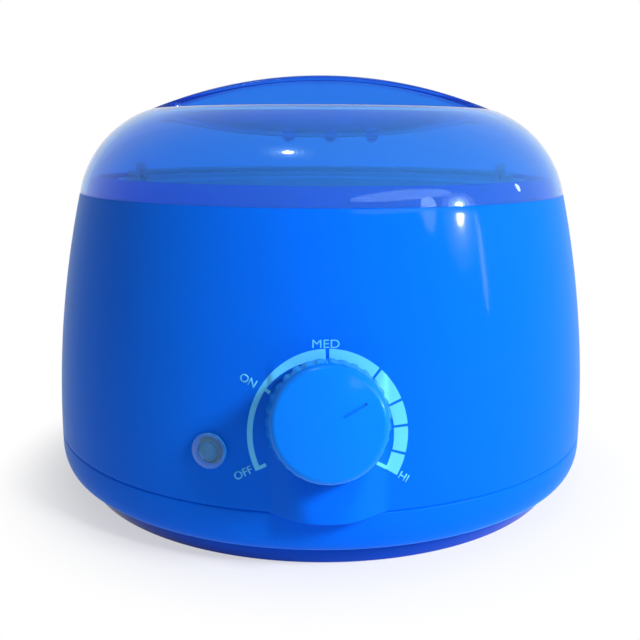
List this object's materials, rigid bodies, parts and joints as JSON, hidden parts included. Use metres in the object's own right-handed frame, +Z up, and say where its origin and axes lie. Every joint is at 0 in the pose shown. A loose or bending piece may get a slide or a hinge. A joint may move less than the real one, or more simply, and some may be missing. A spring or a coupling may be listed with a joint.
{
  "type": "wax warmer",
  "caption": "Round plastic electric warmer for hair-removal wax, with a lift-off lid, a lift-out pot with a bail, a grooved temperature knob and an indicator lamp.",
  "frame": {"origin": "centre of the foot ring's lower face, on the table under the pot's axis", "axes": "+Z up along the pot's axis, -Y towards the knob, +X to the right seen from the front"},
  "size_m": [0.1836, 0.2023, 0.1361],
  "materials": {
    "casing_blue": "glossy moulded plastic",
    "foot_blue": "glossy moulded plastic, darker",
    "lid_blue": "glossy translucent plastic",
    "knob_blue": "glossy moulded plastic",
    "aluminium": "drawn sheet, satin",
    "steel": "zinc plated",
    "mica": "mica paper",
    "glass_fibre": "woven glass fibre",
    "ceramic": "glazed ceramic",
    "copper": "drawn copper",
    "brass": "machined",
    "lens_clear": "clear moulded plastic",
    "lamp_glass": "clear glass",
    "resistor": "lacquered",
    "gland_black": "moulded nylon",
    "wire_red": "silicone sleeve",
    "wire_black": "silicone sleeve",
    "wire_grey": "silicone sleeve",
    "wire_green": "silicone sleeve"
  },
  "bodies": {
    "housing": {"outer_shell": "casing_blue", "base_cover": "casing_blue", "foot_ring": "foot_blue", "base_screws": "steel", "heating_well": "aluminium", "well_screws": "steel", "heater_band": "mica", "heater_clamp": "steel", "clamp_screw": "steel", "insulation_wrap": "glass_fibre", "thermostat_body": "ceramic", "thermostat_bracket": "steel", "thermostat_screws": "steel", "sensor_bulb": "copper", "bulb_clip": "steel", "lamp_lens": "lens_clear", "lamp_retainer": "steel", "neon_lamp": "lamp_glass", "lamp_resistor": "resistor", "thermal_fuse": "ceramic", "fuse_clip": "steel", "terminal_block": "ceramic", "terminal_screws": "brass", "cord_gland": "gland_black", "gland_nut": "gland_black", "earth_stud": "steel", "earth_tag": "brass", "earth_lead": "wire_green", "supply_lead": "wire_red", "thermostat_lead": "wire_red", "heater_lead": "wire_black", "neutral_lead": "wire_grey", "lamp_leads": "wire_black"},
    "knob": {"knob": "knob_blue", "knob_spring": "steel", "thermostat_shaft": "steel"},
    "pot": {"wax_pot": "aluminium", "pot_ears": "steel"},
    "bail": {"bail": "steel"},
    "lid": {"lid": "lid_blue"}
  },
  "joints": [
    {"name": "pot_lift", "type": "slide", "parent": "housing", "child": "pot", "axis": [0, 0, 1], "range_m": [0, 0.12]},
    {"name": "lid_lift", "type": "slide", "parent": "pot", "child": "lid", "axis": [0, 0, 1], "range_m": [0, 0.2]},
    {"name": "bail_swing", "type": "hinge", "parent": "pot", "child": "bail", "pos_m": [0, 0, 0.1034], "axis": [1, 0, 0], "range_deg": [0, 180]},
    {"name": "knob_turn", "type": "hinge", "parent": "housing", "child": "knob", "pos_m": [0, -0.09166, 0.0446], "axis": [0, -0.9659, 0.2588], "range_deg": [-58, 178]}
  ],
  "couplings": [
    {"joint": "bail_swing", "follows": "lid_lift", "rad_per_m": 15.708}
  ]
}
